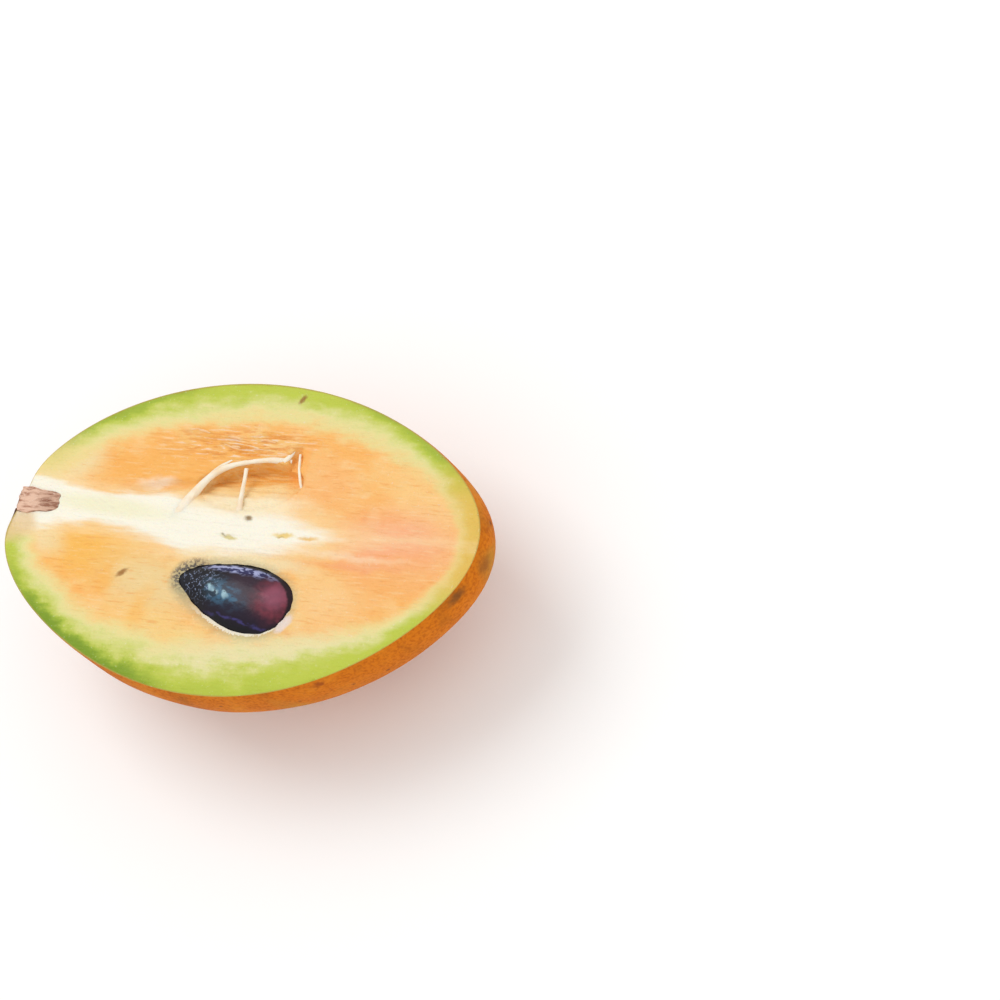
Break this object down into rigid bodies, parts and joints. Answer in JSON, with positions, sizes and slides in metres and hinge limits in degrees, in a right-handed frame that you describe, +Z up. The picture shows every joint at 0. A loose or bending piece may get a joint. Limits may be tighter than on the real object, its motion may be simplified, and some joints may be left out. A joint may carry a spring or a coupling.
{
  "type": "sapodilla half",
  "caption": "Half of an egg-shaped fruit lying on its back, its level cut face showing a pale core, an empty seed cell and a dark glossy seed.",
  "frame": {"origin": "middle of the small flat spot that the fruit rests on", "axes": "+X along the fruit from the stalk to the tip, +Z up out of the cut face"},
  "size_m": [0.082, 0.0524, 0.0286],
  "materials": {
    "skin_and_flesh": "moist ripe flesh on the cut face, dull ochre-brown skin outside",
    "seed_coat": "hard polished seed coat",
    "dry_bark": "dry and corky"
  },
  "bodies": {
    "root": {"fruit_half": "skin_and_flesh", "seed": "seed_coat", "stem_and_calyx": "dry_bark"}
  },
  "joints": []
}
